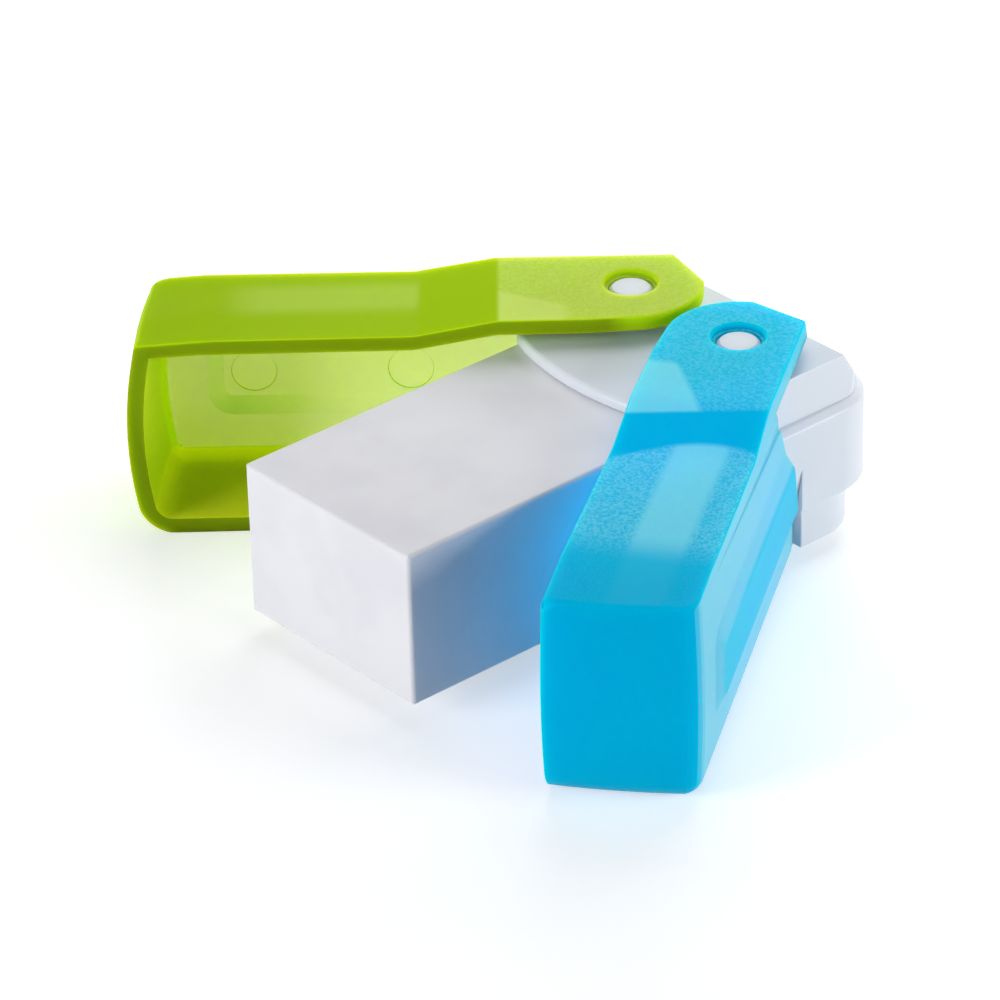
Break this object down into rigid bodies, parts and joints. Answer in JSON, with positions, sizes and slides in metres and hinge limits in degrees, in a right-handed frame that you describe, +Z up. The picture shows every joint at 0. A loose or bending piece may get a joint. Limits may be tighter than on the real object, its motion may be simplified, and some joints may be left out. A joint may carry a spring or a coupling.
{
  "type": "rubber eraser",
  "caption": "Pocket eraser whose rubber block sits in a holder between swivelling half covers that close round it as a case.",
  "frame": {"origin": "midway between the two pivot axes, in the plane of the covers' lower faces; the base mount lies on the blue cover's lower tongue within half a millimetre of it", "axes": "+X from the pivots towards the free tip of the rubber block, +Y from the green cover to the blue cover, +Z up, out of the lower faces and along the pivots"},
  "size_m": [0.0543, 0.0779, 0.0212],
  "materials": {
    "rubber_block": "matt white vinyl rubber",
    "white_plastic": "semi-gloss white",
    "green_plastic": "translucent lime green, finely textured outside",
    "blue_plastic": "translucent blue, finely textured outside"
  },
  "bodies": {
    "holder": {"holder": "white_plastic", "eraser_block": "rubber_block"},
    "green_cover": {"green_cover": "green_plastic"},
    "blue_cover": {"blue_cover": "blue_plastic"}
  },
  "joints": [
    {"name": "green_pivot", "type": "hinge", "parent": "holder", "child": "green_cover", "pos_m": [0, -0.0071, 0], "axis": [0, 0, -1], "range_deg": [-41, 1]},
    {"name": "blue_pivot", "type": "hinge", "parent": "holder", "child": "blue_cover", "pos_m": [0, 0.0071, 0], "axis": [0, 0, 1], "range_deg": [-34.5, 7.5]}
  ]
}
